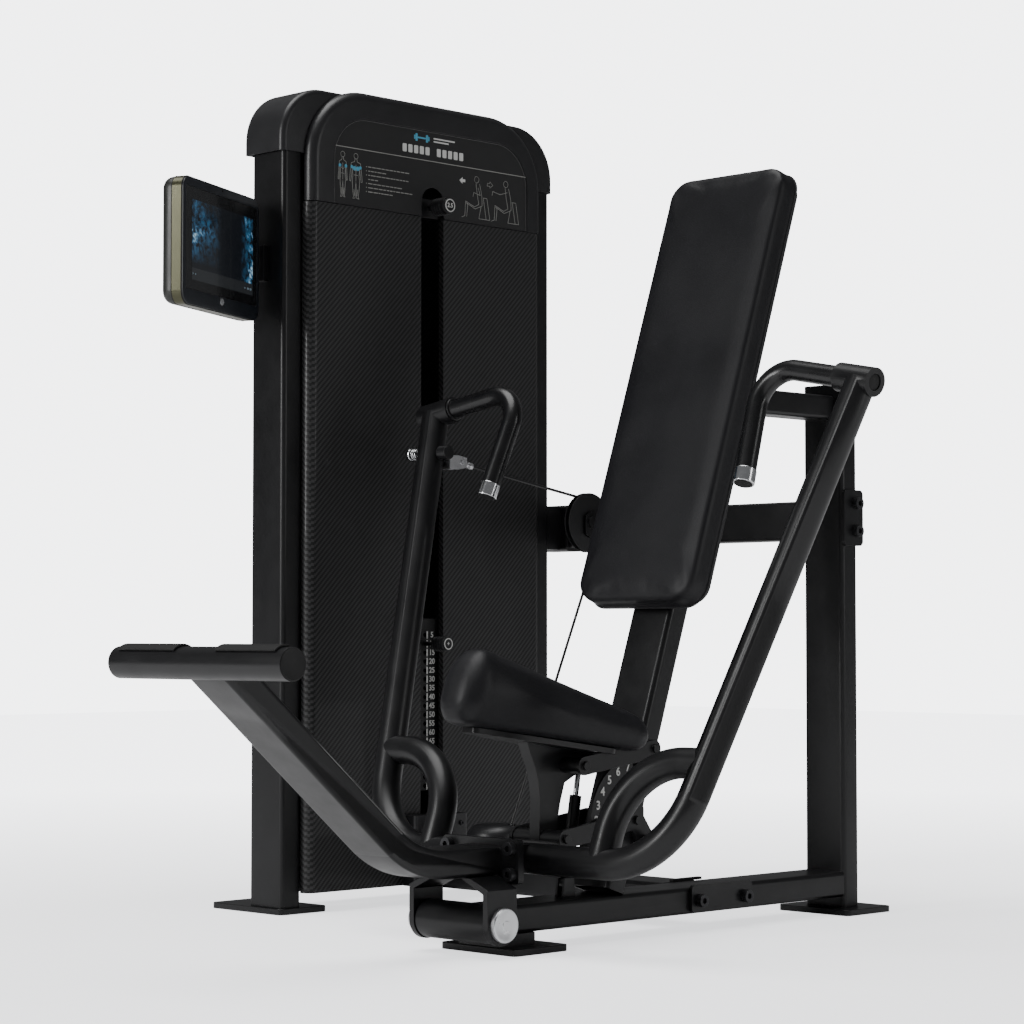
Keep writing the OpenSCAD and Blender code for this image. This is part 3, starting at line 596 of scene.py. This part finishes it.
# The backdrop is bright to the camera, and a dim surround for everything else
ray = world.node_tree.nodes.new("ShaderNodeLightPath")
level = world.node_tree.nodes.new("ShaderNodeMapRange")
level.inputs["To Min"].default_value = SURROUND_LEVEL
level.inputs["To Max"].default_value = SEEN_LEVEL
world.node_tree.links.new(ray.outputs["Is Camera Ray"], level.inputs["Value"])
world.node_tree.links.new(level.outputs[0], backdrop.inputs["Strength"])


def softbox(name, place, target, w, h, power):
    data = bpy.data.lights.new(name, "AREA")
    data.shape = "RECTANGLE"
    data.size, data.size_y, data.energy = w, h, power
    light = placed(name, data)
    light.location = place
    light.rotation_euler = (Vector(target) - Vector(place)).to_track_quat("-Z", "Y").to_euler()


softbox("key", (-1.5, -4.9, 2.3), (-0.2, 0.1, 0.8), 0.9, 2.8, 150)
softbox("fill", (4.6, 1.9, 2.0), (-0.2, 0.3, 0.8), 0.5, 2.6, 30)
overhead = placed("overhead", bpy.data.lights.new("overhead", "SUN"))
overhead.data.energy = 2.6
overhead.data.angle = math.radians(50)
overhead.rotation_euler = (math.radians(8), math.radians(-6), 0)


# ---- every rigid CAD node, with its finish ----

slots = {n: s for s, names in {
    "frame": ["floor_feet", "base_beam", "base_cross_member", "clamp_plates", "rear_upright", "back_support",
              "upper_cross_beam", "tower_frame", "upper_pulley_bracket", "lower_pulley_yoke",
              "tower_pulley_hangers", "screen_bracket", "press_arms", "lower_tube", "frame_gussets",
              "clevis_plates", "foot_lever", "seat_carrier", "seat_lower_link", "seat_upper_link",
              "lift_strut", "seat_quadrant"],
    "shroud": ["shroud_panel_left", "shroud_panel_right", "rear_shroud"],
    "covers": ["entry_cover", "pulley_cover", "pad_board"],
    "grips": ["handles"],
    "rubber": ["stack_buffers", "foot_pads"],
    "chrome": ["guide_rods", "grip_caps", "strut_rod"],
    "brushed": ["cable_fork", "cable_terminal", "cable_stop", "pivot_pin"],
    "bolts": ["frame_bolts", "lever_bolts"],
    "plates": ["resting_plates", "stack_head", "lifted_plates"],
    "knobs": ["selector_pin", "increment_weight", "arm_pin", "seat_plunger"],
    "pulleys": ["upper_pulley", "lower_pulley", "tower_pulley", "top_pulley"],
    "cable": ["cable_main"],
}.items() for n in names}
# Edge rounding in millimetres, where it is not 1
EDGE = {
    "shroud_panel_left": 0.5, "shroud_panel_right": 0.5, "rear_shroud": 0.5, "entry_cover": 0.8,
    "resting_plates": 1.2, "lifted_plates": 1.2, "pad_board": 2.0, "base_beam": 1.2, "foot_lever": 1.2,
    "foot_pads": 1.6, "grip_caps": 2.0, "cable_main": 0.3, "press_arms": 1.5, "lower_tube": 1.5,
}
for node_name, slot_name in slots.items():
    refine(node_name, FINISH[slot_name], EDGE.get(node_name, 1.0))


# ---- moulded caps over the weight stack ----

def moulded(name, mesh, place, cutters, material, body, node=None, edge=0.8):
    """A moulded shell: a form with its hollow and openings cut away."""
    obj = piece(name, mesh, material, None, place)
    carved(obj, cutters)
    sharp(obj.data, 24)
    bevelled(obj, edge, 50)
    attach(obj, body)
    if node:
        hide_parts(node)


def cap_edge(y0, y1, z0, z1, r):
    """Outlines of a cap by their inset, for layered()."""
    return lambda inset: panel_edge(y0 + inset, y1 - inset, z0, z1 - inset, r - inset)


cap_back = move(-722, 0, 0) @ FACES_X
front_hollow = layered(cap_edge(141, 807, 1440, 1677, 150), round_over(-1, 19.5, 16, 4))
moulded("front_cap_shell", layered(cap_edge(141, 807, 1437, 1677, 150), round_over(0, 24, 20)), cap_back,
        [(front_hollow, cap_back),
         (slab([panel_edge(448, 512, 1420, 1500, 31.9)], 40, -5), cap_back),
         (slab([panel_edge(201, 761, 1420, 1620, 90)], 6, 21.5), cap_back)],
        COVER, "root", "front_cap")
# The front cap's lower lip reaches down behind the panels
lip = [[(y0, 1424), (y1, 1424), (y1, 1441), (y0, 1441)] for y0, y1 in ((150, 447), (513, 800))]
piece("front_cap_lip", slab(lip, 2.5, -710), COVER, "root", FACES_X, smooth=False)
rear_back = move(-838, 0, 0) @ FACES_X
rear_hollow = layered(cap_edge(84, 866, 1530, 1672, 110), round_over(3, 112, 9, 3))
moulded("rear_cap_shell", layered(cap_edge(84, 866, 1535, 1672, 110), round_over(0, 115, 12)), rear_back,
        [(rear_hollow, rear_back),
         (slab([[(174, 1520), (776, 1520), (776, 1601), (174, 1601)]], 6, -2), rear_back)],
        COVER, "root", "rear_cap")


# ---- upholstery, filled by a cloth simulation ----

def settle(obj, held):
    """Blows the cover up a little, at most 3 mm, keeping the points held fixed."""
    most = 3.0 * MM
    start = [v.co.copy() for v in obj.data.vertices]
    group = obj.vertex_groups.new(name="held")
    group.add([i for i, p in enumerate(start) if held(p)], 1.0, "REPLACE")
    cloth = obj.modifiers.new("cloth", "CLOTH")
    cloth.settings.vertex_group_mass = "held"
    cloth.settings.quality = 5
    cloth.settings.mass = 0.3
    cloth.settings.tension_stiffness = 12
    cloth.settings.compression_stiffness = 12
    cloth.settings.shear_stiffness = 6
    cloth.settings.bending_stiffness = 0.6
    cloth.settings.use_pressure = True
    cloth.settings.uniform_pressure_force = 4.0
    cloth.settings.effector_weights.gravity = 0
    cloth.point_cache.frame_start = 1
    cloth.point_cache.frame_end = CLOTH_FRAMES
    for step in range(1, CLOTH_FRAMES + 1):
        bpy.context.scene.frame_set(step)
    filled = evaluated(obj)
    obj.modifiers.remove(cloth)
    bpy.context.scene.frame_set(1)
    for i, p in enumerate(start):
        shift = filled.vertices[i].co - p
        if shift.length > most:
            shift *= most / shift.length
        obj.data.vertices[i].co = p + shift
    bpy.data.meshes.remove(filled)


def relaxed(obj, factor):
    relax = obj.modifiers.new("relax", "SMOOTH")
    relax.factor = factor
    relax.iterations = 3


def cushion(name, mesh, place, body, node, held, voxel, cutters=()):
    """A cushion with a soft even mesh, filled by the cloth simulation."""
    obj = piece(name, mesh, VINYL, None)
    remesh = obj.modifiers.new("remesh", "REMESH")
    remesh.mode = "VOXEL"
    remesh.voxel_size = voxel * MM
    remesh.use_smooth_shade = True
    relaxed(obj, 0.5)
    apply_all(obj)
    settle(obj, held)
    relaxed(obj, 0.4)
    finer = obj.modifiers.new("finer", "SUBSURF")
    finer.levels = 1
    finer.render_levels = 1
    apply_all(obj)
    obj.data.polygons.foreach_set("use_smooth", [True] * len(obj.data.polygons))
    obj.matrix_world = place
    if cutters:
        carved(obj, cutters)
        sharp(obj.data, 50)
    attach(obj, body)
    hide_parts(node)


def back_outline(inset):
    return rounded(296 - 2 * inset, 893 - 2 * inset, 46 - min(inset, 20), steps=14)


# The backrest: local Z comes forward out of the board
back_place = BACK @ move(0, -62.5, 979) @ FACES_MINUS_Y
back_levels = [(0, 5), (2, 2), (6, 0.5), (38, 0), (46, 1.0), (50.6, 4), (52.6, 9)]
cushion("back_cushion", layered(back_outline, back_levels), back_place, "root", "back_pad",
        lambda p: p.z < 12 * MM, 5.5)


def seat_shape(inset):
    """The seat's outline: a narrow nose at -Y and wide round corners at the rear."""
    points = []
    corners = ((60, 341, 50, 0, 90), (-60, 341, 50, 90, 180), (-10, 8, 40, 180, 270), (10, 8, 40, 270, 360))
    for cx, cy, r, a0, a1 in corners:
        if cy < 100:
            a0, a1 = (a0 - 8.6, a1) if cx < 0 else (a0, a1 + 8.6)
        reach = max(r - inset, 4)
        for k in range(15):
            a = math.radians(a0 + (a1 - a0) * k / 14)
            points.append((cx * (1 - max(inset - r + 4, 0) / 60) + reach * math.cos(a), cy + reach * math.sin(a)))
    return points


def under(y):
    """Height of the seat's underside below its top plane at a distance back."""
    return -136 + (y + 32) * math.tan(math.radians(10.3))


def crown(y):
    """Height of the seat's top, which rises a little towards the nose."""
    return 4 + 13 * max(0.0, 1 - (y + 32) / 400)


link_channel = [(150, 290), (400, 290), (400, 376), (290, 368), (190, 351), (150, 343)]
seat_levels = []
for share, inset in ((0.0, 34), (0.02, 23), (0.05, 15), (0.11, 8), (0.18, 3), (0.28, -1), (0.42, -2), (0.55, -1),
                     (0.66, 2), (0.76, 6.5), (0.85, 13), (0.92, 21), (0.975, 32)):
    seat_levels.append((lambda y, s=share: under(y) + (crown(y) - under(y)) * s, inset))
cushion("seat_cushion", layered(seat_shape, seat_levels), SEAT, "seat", "seat_pad",
        lambda p: p.z < (under(p.y / MM) + 10) * MM, 5.0, [(slab([link_channel], 144, -72), FACES_X)])

# Piping sewn round the backrest
piping = [(x, y, 6.0) for x, y in back_outline(1.6)]
piece("back_piping", tube(piping, 2.0, 8, closed=True), STITCH, "root", back_place)


# ---- cables that stretch or shorten ----

fork_pin = Vector((-500, 362, 904))
cable_top = Vector((-500, 748.7, 841.4))
run = (cable_top - fork_pin).normalized()
near = fork_pin + run * 36
front_points = [tuple(near.lerp(cable_top, k / 60)) for k in range(61)]
front = piece("front_cable", tube(front_points, CABLE_RADIUS, 14), CABLE, None)
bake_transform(front)
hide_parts("cable_front")

drop_points = [(-766, STACK_Y, 600 + 932 * k / 40) for k in range(41)]
drop = piece("drop_cable", tube(drop_points, CABLE_RADIUS, 14), CABLE, "root")
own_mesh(drop)
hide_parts("cable_drop")


# ---- weight stack: pin marks and numbers ----

def plate_marks(name, first, last, body):
    """A bar and a number on the front of each plate."""
    bars, numbers = [], []
    for i in range(first, last):
        z = 557 - PLATE_PITCH * i
        bars.append([(483.6, z - 7.8), (487.4, z - 7.8), (487.4, z + 7.8), (483.6, z + 7.8)])
        numbers.append((str(5 + 5 * i), 499.5, z, 16.5))
    plane = move(-723.0, 0, 0) @ FACES_X
    piece(name + "_bars", slab(bars, 0.4, 0.05), WHITE, body, plane, smooth=False)
    piece(name + "_numbers", lettering(numbers, 0.45), WHITE, body, plane, smooth=False)


plate_marks("lifted", 0, 2, "stack")
plate_marks("resting", 2, 18, "root")


def ring_mark(name, text, x, z, body, outer):
    """A white ring round a number on the end of a knob, facing +X."""
    plane = move(x, STACK_Y, z) @ FACES_X
    ring = frame_slab(disc(outer), disc(outer - 2.1), 0.45)
    piece(name + "_ring", ring, WHITE, body, plane, smooth=False)
    number = lettering([(text, 0, 0, outer * 0.95)], 0.4)
    piece(name + "_number", number, WHITE, body, plane, smooth=False)


ring_mark("selector", "+", -652.0, SELECTOR_Z, "selector_pin", 12.0)
ring_mark("increment", "2.5", -648.0, INCREMENT_Z, "increment_weight", 13.8)

# Grip ridges round both knobs
for name, z, r, body in (("selector", SELECTOR_Z, 15, "selector_pin"),
                         ("increment", INCREMENT_Z, 18, "increment_weight")):
    for k in range(4):
        loop = [(-685 + 7.4 * k, STACK_Y + r * math.cos(a), z + r * math.sin(a))
                for a in (2 * math.pi * i / 40 for i in range(40))]
        piece(f"{name}_ridge_{k}", tube(loop, 0.9, 8, closed=True), KNOB, body)


# ---- seat height numbers ----

seat_plane = move(54.5, 0, 0) @ FACES_X
seat_angles = [math.radians(a) for a in range(178, 90, -16)]
seat_numbers = [(str(2 + k), 275 + 98 * math.cos(a), 218 + 98 * math.sin(a), 22)
                for k, a in enumerate(seat_angles)]
piece("seat_numbers", lettering(seat_numbers, 0.5), WHITE, "root", seat_plane, smooth=False)


# ---- cap panel: plain marks and small figures ----

cap_plane = move(-700.5, 0, 0) @ FACES_X


def cap_art(name, shapes, material, lift=0.05, height=0.35):
    """Flat marks on the cap's panel."""
    piece(name, slab(shapes, height, lift), material, "root", cap_plane, smooth=False)


def seated(cy, reach):
    """A seated person pressing, drawn about cy, with the arms reaching out or in."""
    z = 1447
    head = disc(6.2, cy + 2, z + 78, 18)
    body = [[*head, head[0]], [(cy, z + 71), (cy + 3, z + 52), (cy + 8, z + 30), (cy - 4, z + 24)],
            [(cy + 10, z + 70), (cy + 16, z + 48), (cy + 17, z + 28), (cy - 2, z + 20), (cy - 26, z + 30)],
            [(cy - 4, z + 24), (cy - 28, z + 33), (cy - 30, z + 4), (cy - 38, z + 1)],
            [(cy - 26, z + 30), (cy - 22, z + 26), (cy - 25, z + 3)],
            [(cy + 20, z + 44), (cy + 28, z + 2), (cy + 8, z + 2), (cy + 14, z + 26)],
            [(cy + 20, z + 44), (cy + 30, z + 44), (cy + 38, z + 2), (cy + 28, z + 2)]]
    if reach:
        body.append([(cy + 6, z + 62), (cy - 14, z + 56), (cy - 34, z + 60), (cy - 36, z + 52)])
    else:
        body.append([(cy + 6, z + 62), (cy + 12, z + 48), (cy - 6, z + 52), (cy - 8, z + 44)])
    return body


def standing(cy, turned):
    """A standing figure about cy."""
    z = 1452
    wide = 0.72 if turned else 1.0
    head = disc(5.4, cy, z + 83, 16)
    half = [(2.5, 77), (3.5, 72), (12, 69), (14.5, 52), (16.5, 34), (13.5, 33), (10.5, 50), (9.5, 60), (8, 44),
            (9.5, 34), (8.5, 18), (6, 4), (8, 0), (2, 1), (1.2, 20), (0, 32)]
    right = [(cy + y * wide, z + h) for y, h in half]
    left = [(cy - y * wide, z + h) for y, h in half]
    inner = [[(cy - 6 * wide, z + 58), (cy, z + 54), (cy + 6 * wide, z + 58)], [(cy, z + 66), (cy, z + 34)],
             [(cy - 5 * wide, z + 46), (cy + 5 * wide, z + 46)], [(cy - 5 * wide, z + 18), (cy - 3 * wide, z + 6)],
             [(cy + 5 * wide, z + 18), (cy + 3 * wide, z + 6)]]
    return [[*head, head[0]], right, left, *inner]


def grown(path, cy, cz, by):
    """A path made larger about a point."""
    return [(cy + (y - cy) * by, cz + (z - cz) * by) for y, z in path]


def arrow(cy, cz, way):
    """A block arrow that points to +y, or to -y when way is -1."""
    tail = cy - way * 8
    body = [(tail, cz - 3), (cy, cz - 3), (cy, cz - 7), (cy + way * 9, cz), (cy, cz + 7), (cy, cz + 3), (tail, cz + 3)]
    return body if way > 0 else body[::-1]


film_sheet = slab([panel_edge(203, 759, 1438.5, 1618.2, 88.5)], 0.2, -0.15)
film = piece("cap_film", film_sheet, FILM, None, cap_plane, smooth=False)
carved(film, [(slab([panel_edge(446.5, 513.5, 1420, 1501.5, 33.4)], 4, -2), cap_plane)])
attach(film, "root")
cap_art("cap_divider", [[(203, 1555.0), (759, 1555.0), (759, 1556.6), (203, 1556.6)]], GREY)
figures = [grown(p, c, 1447, 1.1) for c, out in ((606, False), (694, True)) for p in seated(c, out)]
cap_art("cap_figures", strokes(figures, 1.0), GREY)
bodies = [grown(p, c, 1452, 1.06) for c, side in ((226, True), (262, False)) for p in standing(c, side)]
cap_art("cap_bodies", strokes(bodies, 1.0), GREY)
chest = [disc(4.6, 257.4, 1514.5, 14), disc(4.6, 266.6, 1514.5, 14), disc(3.4, 250.2, 1517, 14),
         disc(3.4, 273.8, 1517, 14), disc(3.6, 218.0, 1516.5, 12), disc(3.6, 234.0, 1516.5, 12)]
cap_art("cap_chest", chest, BLUE, 0.5)
cap_art("cap_arrow_full", [arrow(566, 1526, -1)], WHITE)
outline = arrow(648, 1526, 1)
cap_art("cap_arrow_open", strokes([[*outline, outline[0]]], 0.8), GREY)

# Bars in place of the instructions: each row has a bullet unless it carries on the row above
rows = []
for k, length in enumerate((104, 48, 112, 20, 90, 118, 62)):
    z = 1522 - 8.6 * k
    if k != 3:
        rows.append(disc(1.1, 291, z, 8))
    y = 296.0
    while y < 296 + length:
        word = random.uniform(5, 13)
        rows.append([(y, z - 0.9), (y + word, z - 0.9), (y + word, z + 0.9), (y, z + 0.9)])
        y += word + 2.2
cap_art("cap_rows", rows, GREY)

# Two words' worth of plain blocks in place of the title, and a dumbbell badge
blocks = [rounded(11.5, 17, 2.2, 398 + 16.4 * k, 1576, 3) for k in range(11) if k != 5]
cap_art("cap_title_blocks", blocks, WHITE)
dumbbell = ((6, 16, 1.5, 432), (6, 16, 1.5, 462), (24, 3.4, 1.2, 447), (3.4, 9, 1.2, 426.6), (3.4, 9, 1.2, 467.4))
cap_art("cap_badge", [rounded(w, h, r, y, 1602, 3) for w, h, r, y in dumbbell], BLUE)
cap_art("cap_badge_bars", [rounded(62, 3.0, 1.2, 512, 1605, 3), rounded(44, 3.0, 1.2, 503, 1598.5, 3)], WHITE)
cap_art("cap_outline", strokes([panel_edge(204, 758, 1439, 1617, 88)], 0.7), LINE, 0.02, 0.3)


# ---- screen: bezel, trim, picture ----

face = SCREEN @ FACES_MINUS_Y


def case_edge(inset):
    return rounded(340 - 2 * inset, 247 - 2 * inset, 26 - min(inset, 18))


def screen_mark(name, mesh, material, smooth=False):
    piece(name, mesh, material, "screen", face, smooth=smooth)


case_levels = [(-50, 18), (-49.4, 14), (-47.6, 9.5), (-44.5, 5.5), (-40.5, 2.7), (-35.5, 0.8), (-30, 0), (-2.4, 0),
               (-1.8, 0.5)]
moulded("screen_case", layered(case_edge, case_levels), face,
        [(slab([disc(7.2, *BUTTON_AT, 48)], 12, -6), face)], CASE, "screen", "screen", 0.4)
bezel = layered(lambda i: rounded(339 - 2 * i, 246 - 2 * i, 25.5 - i), [(-2.2, 0), (-0.8, 0), (-0.25, 0.4), (0, 1.2)])
moulded("screen_bezel", bezel, face,
        [(slab([rounded(318, 199, 5, 1, 5.5)], 6, -3), face), (slab([disc(7.2, *BUTTON_AT, 48)], 6, -3), face)],
        BEZEL, "screen", edge=0.3)
screen_mark("screen_glass", slab([rounded(316.6, 197.6, 4.4, 1, 5.5)], 1.0, -1.5), GLASS)
screen_mark("screen_picture", slab([rounded(271, 155, 1.5, 4.5, 3.5)], 0.3, -0.46), PICTURE)
screen_mark("screen_camera", slab([disc(2.6, 0, 116.5, 20)], 0.3, 0.02), RUBBER, True)
band = frame_slab(rounded(341.4, 248.4, 26.7), rounded(339.4, 246.4, 25.7), 19, -24)
screen_mark("screen_band", band, OLIVE, True)
for k, z in enumerate((-4.2, -25.0)):
    loop = [(x, y, z) for x, y in rounded(339.8, 246.8, 26)]
    screen_mark(f"screen_groove_{k}", tube(loop, 1.2, 8, closed=True), RUBBER, True)
dots = [disc(1.7, x, -62.5, 14) for x in (-127, -116, 104)]
dots += [rounded(8, 4, 1.2, 118, -62.5, 3), rounded(8, 4, 1.2, 130, -62.5, 3)]
screen_mark("screen_dots", slab(dots, 0.2, -0.14), DOTS)
screen_mark("button_ring", frame_slab(disc(8.5, *BUTTON_AT, 40), disc(7.3, *BUTTON_AT, 40), 0.5, -0.1), CHROME, True)
button = lathe([(0, -3.5), (6.6, -3.5), (6.9, -3.0), (6.9, 0.3), (6.4, 0.8), (4.5, 0.6), (0, 0.35)])
push = piece("button_cap", button, CAP, "home_button", face @ move(*BUTTON_AT, 0))
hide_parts("home_button")
swivel = move(-849, 24, 1293.5)
moulded("screen_hinge", slab([[(128, -19), (158, -19), (158, 19), (128, 19)]], 22, -71.5), face,
        [(lathe([(0, -5), (6.1, -5), (6.1, 45), (0, 45)]), swivel)], CASE, "screen", edge=1.2)
hinge_boss = lathe([(6.1, 0), (12, 0), (13, 1), (13, 39), (12, 40), (6.1, 40)])
piece("screen_hinge_boss", hinge_boss, CASE, "screen", swivel)


# ---- press frame: end plugs, pin spring, grip ends ----

def turned(name, profile, place, material, body, slot):
    """A lathed piece whose mesh is already in its place."""
    mesh = lathe(profile)
    mesh.transform(place)
    piece(name, mesh, material, body)


for tag, side in SIDES:
    boss = side @ ARM @ move(0, 0, 914)
    turned(f"boss_plug_{tag}", [(0, 27.4), (11, 27.2), (13.2, 26.6), (14.9, 26.1), (14.9, 28.6), (12.6, 29.6),
                                (6, 29.9), (0, 30)], boss @ ACROSS, RUBBER, "press_frame", "rubber")
    turned(f"boss_collar_{tag}", [(19.2, -50.4), (23.0, -50.4), (22.8, -52.4), (21.6, -53.6), (19.2, -54.2)],
           boss @ ACROSS, PAINT, "press_frame", "frame")
    end = side @ ARM @ move(-238, 0, 914) @ turn(180 - 16.2, "Y") @ move(0, 0, 234)
    turned(f"grip_end_{tag}", [(0, -1.5), (16.6, -1.5), (16.6, 0.7), (15.4, 1.5), (4, 1.8), (0, 1.8)],
           end, RUBBER, "press_frame", "grips")

coil = []
for k in range(0, 3 * 24 + 1):
    a = 2 * math.pi * k / 24
    coil.append((-568.2 + 15.6 * k / 72, 303 + 9.8 * math.cos(a), 921 + 9.8 * math.sin(a)))
spring = piece("pin_spring", tube(coil, 1.5, 10), CHROME, "press_frame")
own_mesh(spring)
turned("pin_washer", [(7.6, 0), (13.5, 0), (14, 0.6), (13.5, 2.0), (7.6, 2.0)],
       move(-571.9, 303, 921) @ ACROSS, CHROME, "arm_pin", "chrome")

# Pivot caps: a recessed cap with a small centre boss
for tag, side in SIDES:
    turned(f"pivot_cap_{tag}", [(0, 0.2), (28, 0.2), (29.4, 1.0), (28.4, 2.2), (25, 2.4), (22.5, 1.5), (9, 1.5),
                                (8, 2.7), (0, 3.0)],
           side @ move(107, -107, 57.6) @ ACROSS, CAP, "press_frame", "bolts")

# Foot bar end discs
for tag, side in SIDES:
    turned(f"bar_end_{tag}", [(0, 0.1), (25.6, 0.1), (26, 0.7), (24.6, 1.7), (23.2, 1.2), (0, 1.3)],
           side @ move(220, -684, 513) @ ACROSS, RUBBER, "press_frame", "rubber")
